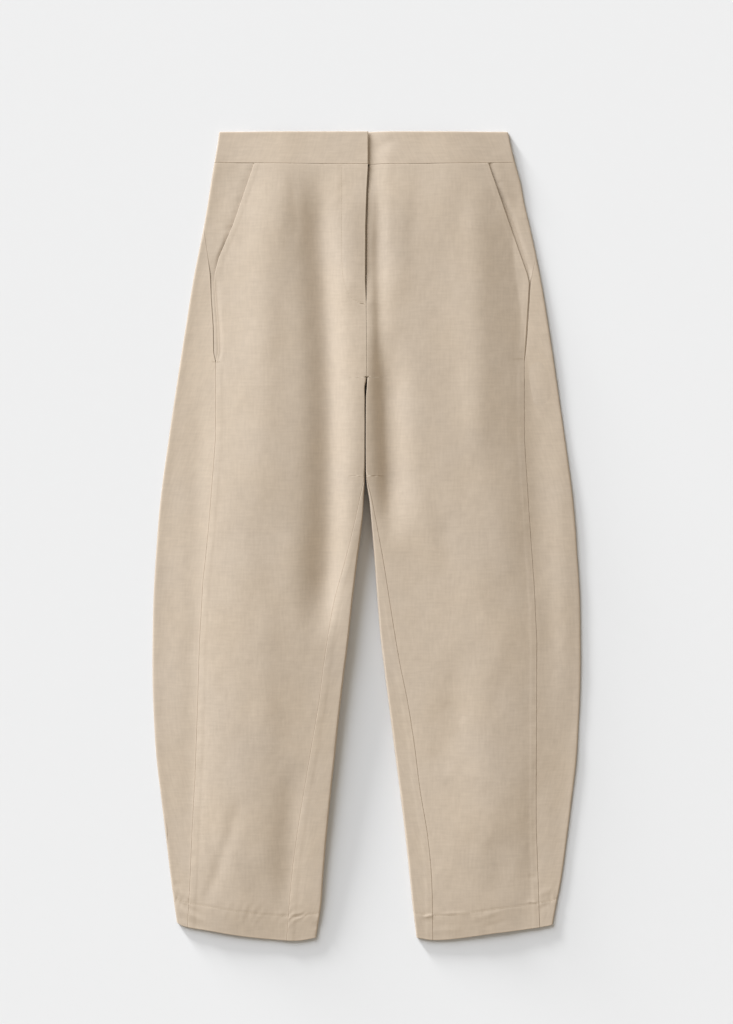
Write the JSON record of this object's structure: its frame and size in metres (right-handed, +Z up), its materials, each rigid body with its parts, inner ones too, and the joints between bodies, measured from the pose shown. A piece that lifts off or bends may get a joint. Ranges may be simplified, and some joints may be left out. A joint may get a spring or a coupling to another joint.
{
  "type": "baggy trousers",
  "caption": "High-waisted baggy barrel-leg trousers laid flat, front up, with slanted pockets, hidden fly and turned-up hems.",
  "frame": {"origin": "on the surface the garment lies on, below the centre of its outline", "axes": "+Z up out of the front, +Y from the hems to the waist, +X to the wearer's left"},
  "size_m": [0.5297, 1.0012, 0.0269],
  "materials": {
    "twill_front": "matt cotton twill, sand",
    "twill_back": "matt cotton twill, sand",
    "twill_band": "matt cotton twill, sand, fused",
    "twill_pocket": "matt cotton twill, sand",
    "zip_tape": "woven tape, sand",
    "hook_metal": "satin"
  },
  "bodies": {
    "root": {"front_right": "twill_front", "front_left": "twill_front", "back_right": "twill_back", "back_left": "twill_back", "waistband_right": "twill_band", "waistband_left": "twill_band", "pocket_right": "twill_pocket", "pocket_left": "twill_pocket", "fly_shield": "twill_pocket", "fly_zip": "zip_tape", "waist_hook": "hook_metal", "waist_bar": "hook_metal"}
  },
  "joints": []
}
